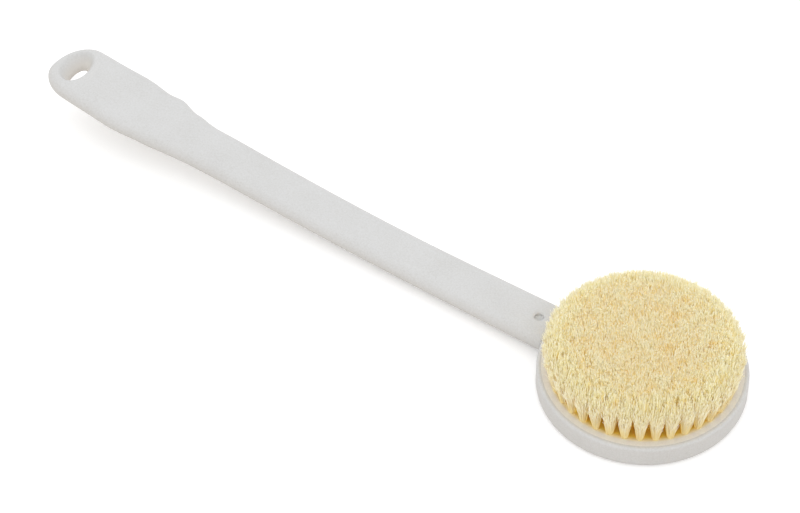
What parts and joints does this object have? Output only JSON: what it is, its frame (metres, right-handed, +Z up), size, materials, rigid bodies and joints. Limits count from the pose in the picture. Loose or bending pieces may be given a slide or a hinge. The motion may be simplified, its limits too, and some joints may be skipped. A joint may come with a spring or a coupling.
{
  "type": "bath brush",
  "caption": "Long-handled bath brush: a round white head with rings of cream bristle tufts and a flat back, and a flat, gently curved handle with finger waves and a hang slot",
  "frame": {"origin": "centre of the head's flat back, on the surface the brush lies on, bristles up", "axes": "+Z up out of the bristles, -X from the head along the handle to the hang slot, +Y toward the edge with the deeper finger waves"},
  "size_m": [0.3783, 0.096, 0.035],
  "materials": {
    "white_plastic": "white moulded plastic with a fine, even matt grain",
    "bristle": "cream filament, pale at the tips and golden toward the roots",
    "anchor_metal": "plain drawn strip"
  },
  "bodies": {
    "root": {"handle": "white_plastic", "head_shell": "white_plastic", "tuft_plate": "white_plastic", "tufts_outer_ring": "bristle", "tufts_second_ring": "bristle", "tufts_middle_rings": "bristle", "tufts_centre": "bristle", "anchor_01": "anchor_metal", "anchor_02": "anchor_metal", "anchor_03": "anchor_metal", "anchor_04": "anchor_metal", "anchor_05": "anchor_metal", "anchor_06": "anchor_metal", "anchor_07": "anchor_metal", "anchor_08": "anchor_metal", "anchor_09": "anchor_metal", "anchor_10": "anchor_metal", "anchor_11": "anchor_metal", "anchor_12": "anchor_metal", "anchor_13": "anchor_metal", "anchor_14": "anchor_metal", "anchor_15": "anchor_metal", "anchor_16": "anchor_metal", "anchor_17": "anchor_metal", "anchor_18": "anchor_metal", "anchor_19": "anchor_metal", "anchor_20": "anchor_metal", "anchor_21": "anchor_metal", "anchor_22": "anchor_metal", "anchor_23": "anchor_metal", "anchor_24": "anchor_metal", "anchor_25": "anchor_metal", "anchor_26": "anchor_metal", "anchor_27": "anchor_metal", "anchor_28": "anchor_metal", "anchor_29": "anchor_metal", "anchor_30": "anchor_metal", "anchor_31": "anchor_metal", "anchor_32": "anchor_metal", "anchor_33": "anchor_metal", "anchor_34": "anchor_metal", "anchor_35": "anchor_metal", "anchor_36": "anchor_metal", "anchor_37": "anchor_metal", "anchor_38": "anchor_metal"}
  },
  "joints": []
}
